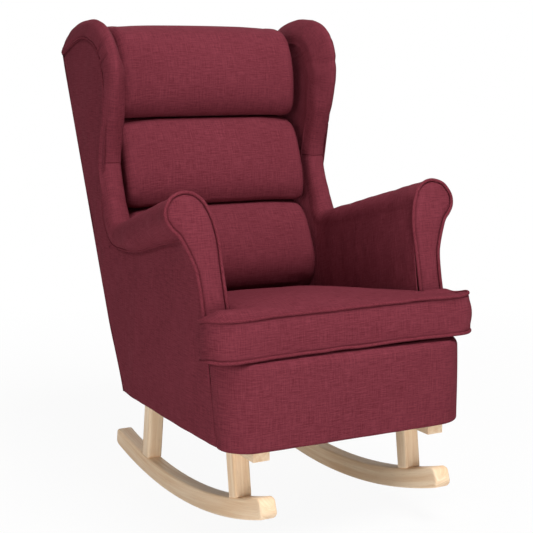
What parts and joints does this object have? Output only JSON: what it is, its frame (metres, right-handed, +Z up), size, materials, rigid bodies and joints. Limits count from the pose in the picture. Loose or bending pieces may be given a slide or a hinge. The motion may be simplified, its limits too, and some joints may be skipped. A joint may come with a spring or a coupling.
{
  "type": "rocking chair",
  "caption": "Upholstered wing-back armchair on curved wooden rockers, with rolled arms, a padded back of horizontal bolsters and a loose T-shaped seat cushion.",
  "frame": {"origin": "on the floor, at the centre of the chair's footprint box", "axes": "+Z up; the sitter looks towards -Y; the sitter's left hand is at +X; the chair is a mirror image across x = 0"},
  "size_m": [0.658, 0.93, 1.0404],
  "materials": {
    "rubberwood": "satin",
    "frame_timber": "matte",
    "upholstery": "matte",
    "piping": "matte",
    "deck_cloth": "matte",
    "dust_cloth": "matte",
    "webbing": "matte",
    "zip_tape": "matte",
    "zinc_steel": "satin",
    "spring_steel": "satin"
  },
  "bodies": {
    "chair": {"rocker_left": "rubberwood", "rocker_right": "rubberwood", "front_leg_left": "rubberwood", "front_leg_right": "rubberwood", "rear_leg_left": "rubberwood", "rear_leg_right": "rubberwood", "top_rail_left": "rubberwood", "top_rail_right": "rubberwood", "leg_dowels": "frame_timber", "leg_screws": "zinc_steel", "rail_screws": "zinc_steel", "base_bolts": "zinc_steel", "bolt_washers": "zinc_steel", "insert_nuts": "zinc_steel", "seat_front_rail": "frame_timber", "seat_rear_rail": "frame_timber", "seat_side_rail_left": "frame_timber", "seat_side_rail_right": "frame_timber", "runner_left": "frame_timber", "runner_right": "frame_timber", "corner_blocks": "frame_timber", "frame_screws": "zinc_steel", "seat_springs": "spring_steel", "spring_clips": "spring_steel", "seat_deck": "deck_cloth", "dust_cover": "dust_cloth", "arm_post_left": "frame_timber", "arm_post_right": "frame_timber", "arm_board_left": "frame_timber", "arm_board_right": "frame_timber", "back_post_left": "frame_timber", "back_post_right": "frame_timber", "back_lower_rail": "frame_timber", "back_middle_rail": "frame_timber", "back_upper_rail": "frame_timber", "back_webbing": "webbing", "wing_board_left": "frame_timber", "wing_board_right": "frame_timber", "base_front_panel": "upholstery", "side_panel_left": "upholstery", "side_panel_right": "upholstery", "back_panel": "upholstery", "arm_pad_left": "upholstery", "arm_pad_right": "upholstery", "arm_facing_left": "upholstery", "arm_facing_right": "upholstery", "facing_piping_left": "piping", "facing_piping_right": "piping", "wing_pad_left": "upholstery", "wing_pad_right": "upholstery", "bolster_lower": "upholstery", "bolster_middle": "upholstery", "bolster_upper": "upholstery"},
    "cushion": {"seat_cushion": "upholstery", "cushion_piping_top": "piping", "cushion_piping_bottom": "piping", "cushion_zip": "zip_tape"}
  },
  "joints": [
    {"name": "cushion_lift", "type": "slide", "parent": "chair", "child": "cushion", "axis": [0, -0.8192, 0.5736], "range_m": [0, 0.36]}
  ]
}
